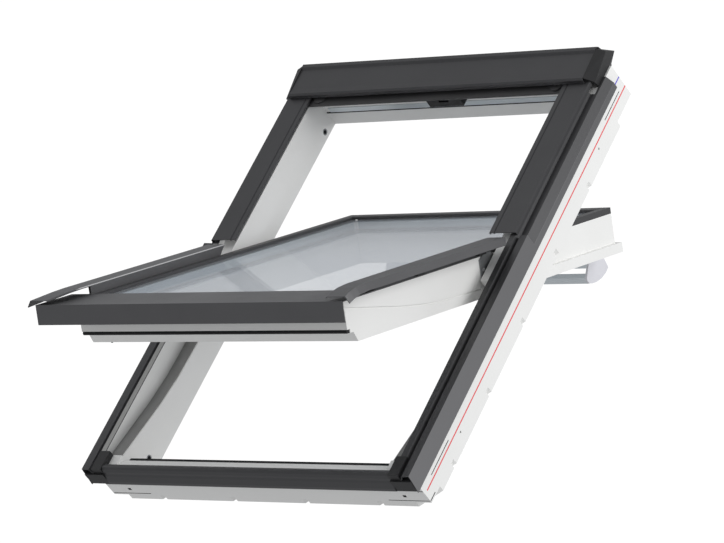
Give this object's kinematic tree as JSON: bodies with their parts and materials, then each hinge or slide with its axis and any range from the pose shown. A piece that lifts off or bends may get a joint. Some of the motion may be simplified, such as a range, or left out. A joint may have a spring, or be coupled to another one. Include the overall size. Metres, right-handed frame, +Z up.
{
  "type": "centre-pivot roof skylight",
  "caption": "Centre-pivot roof skylight with timber frame, double-glazed sash, dark metal claddings, hood, ventilation flap with control bar and barrel bolt.",
  "frame": {"origin": "middle of the frame's bottom face, on the installation line that runs round the frame level with the roof battens", "axes": "+Z up the slope from sill to head, -Y to the outside of the roof, +Y into the room, +X to the right seen from outside. The frame is drawn standing upright; on a roof it is tilted back about X."},
  "size_m": [0.802, 0.7046, 1.028],
  "materials": {
    "painted_timber": "white satin lacquer",
    "grey_cladding": "dark grey satin coating",
    "bright_aluminium": "natural anodised",
    "zinc_steel": "zinc plated",
    "black_plastic": "moulded",
    "grey_plastic": "moulded",
    "white_plastic": "moulded",
    "seal": "matt",
    "grey_seal": "matt",
    "glass": "clear"
  },
  "bodies": {
    "frame": {"frame_stile_left": "painted_timber", "frame_stile_right": "painted_timber", "frame_head": "painted_timber", "frame_sill": "painted_timber", "side_cladding_left": "grey_cladding", "side_cladding_right": "grey_cladding", "upper_cover_left": "grey_cladding", "upper_cover_right": "grey_cladding", "bottom_cladding": "grey_cladding", "corner_piece_left": "black_plastic", "corner_piece_right": "black_plastic", "hood": "grey_cladding", "hood_cap_left": "black_plastic", "hood_cap_right": "black_plastic", "head_lining": "black_plastic", "head_trim": "bright_aluminium", "head_gasket": "seal", "sill_gasket": "seal", "rebate_seals": "grey_seal", "striker_housing": "black_plastic", "bolt_bushes": "zinc_steel", "frame_hinge_left": "zinc_steel", "frame_hinge_right": "zinc_steel", "frame_screws": "zinc_steel"},
    "sash": {"sash_stile_left": "painted_timber", "sash_stile_right": "painted_timber", "sash_top_rail": "painted_timber", "sash_bottom_rail": "painted_timber", "outer_pane": "glass", "inner_pane": "glass", "spacer_bars": "bright_aluminium", "spacer_keys": "white_plastic", "edge_seal": "seal", "glass_gasket": "seal", "setting_blocks": "seal", "glazing_bead_left": "grey_cladding", "glazing_bead_right": "grey_cladding", "glazing_bead_top": "grey_cladding", "bottom_sash_cladding": "grey_cladding", "side_cover_left": "grey_cladding", "side_cover_right": "grey_cladding", "cover_clips": "black_plastic", "sash_weatherstrip": "seal", "sash_hinge_left": "zinc_steel", "sash_hinge_right": "zinc_steel", "sash_screws": "zinc_steel", "lock_case": "zinc_steel", "bolt_housing": "zinc_steel", "flap_brackets": "zinc_steel"},
    "control_bar": {"ventilation_flap": "bright_aluminium", "control_bar": "bright_aluminium", "bar_end_left": "grey_plastic", "bar_end_right": "grey_plastic", "flap_seal": "seal"},
    "lock_latch": {"lock_latch": "zinc_steel"},
    "barrel_bolt": {"barrel_bolt": "zinc_steel"}
  },
  "joints": [
    {"name": "sash_pivot", "type": "hinge", "parent": "frame", "child": "sash", "pos_m": [0, -0.007, 0.495], "axis": [-1, 0, 0], "range_deg": [-38.9, 12]},
    {"name": "bar_pull", "type": "hinge", "parent": "sash", "child": "control_bar", "pos_m": [0, 0.25405, 0.77393], "axis": [-1, 0, 0], "range_deg": [-28, 0]},
    {"name": "tongue_slide", "type": "slide", "parent": "sash", "child": "lock_latch", "axis": [0, 0.628, 0.7782], "range_m": [0, 0.017]},
    {"name": "bolt_slide", "type": "slide", "parent": "sash", "child": "barrel_bolt", "axis": [-1, 0, 0], "range_m": [0, 0.026]}
  ],
  "couplings": [
    {"joint": "tongue_slide", "follows": "bar_pull", "m_per_rad": -0.0347}
  ]
}
